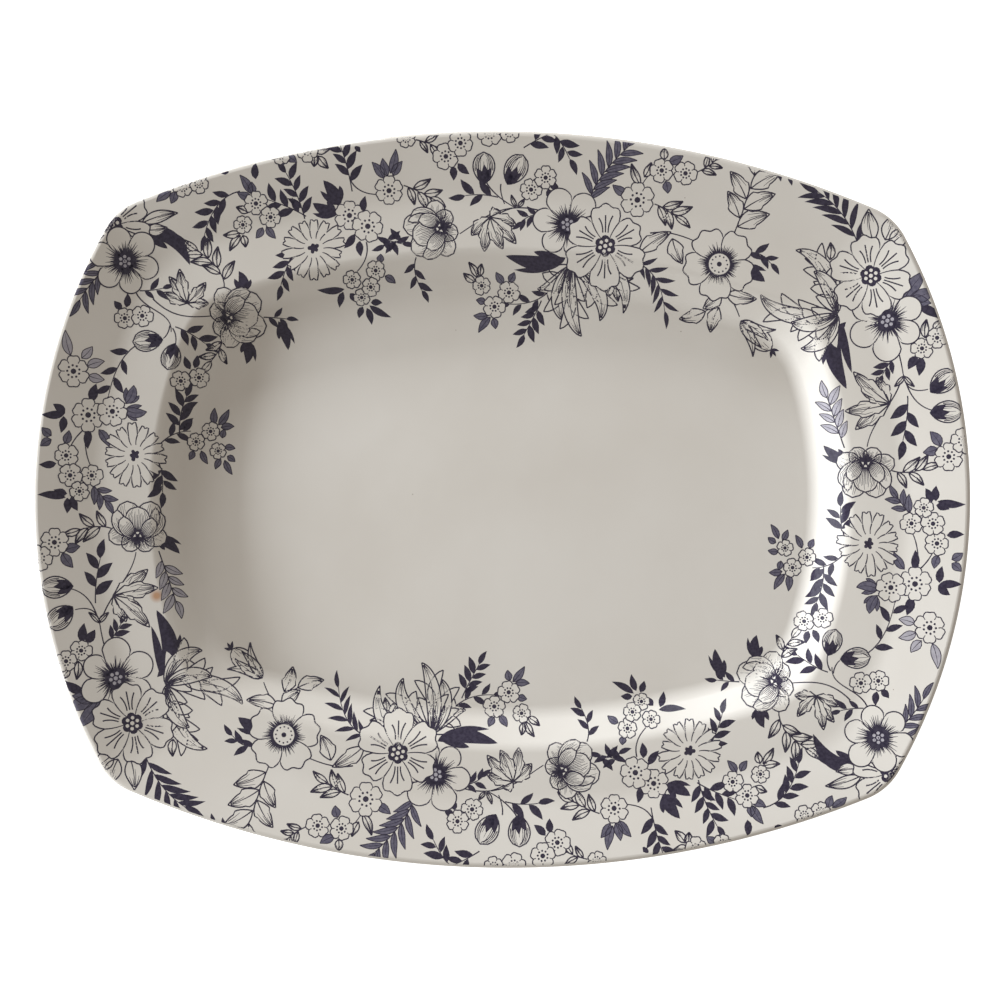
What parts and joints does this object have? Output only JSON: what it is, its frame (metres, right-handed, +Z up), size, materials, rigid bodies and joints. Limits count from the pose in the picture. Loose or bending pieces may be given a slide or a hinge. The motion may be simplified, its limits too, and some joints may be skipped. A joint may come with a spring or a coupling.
{
  "type": "serving platter",
  "caption": "Bow-sided oblong china serving platter with a broad printed floral rim, a shallow well and a glazed back with a bare foot ring.",
  "frame": {"origin": "on the table, under the middle of the platter", "axes": "+Z up out of the well, X along the platter's length, Y across its width"},
  "size_m": [0.3556, 0.2796, 0.025],
  "materials": {
    "biscuit": "fired and unglazed, fine and matt, seen only on the foot ring",
    "cobalt_print": "navy ceramic ink under clear gloss glaze",
    "clear_glaze": "clear gloss glaze over a warm off-white body"
  },
  "bodies": {
    "root": {"biscuit_body": "biscuit", "border_transfer_a": "cobalt_print", "border_transfer_b": "cobalt_print", "glaze_coat": "clear_glaze", "foot_well_glaze": "clear_glaze"}
  },
  "joints": []
}
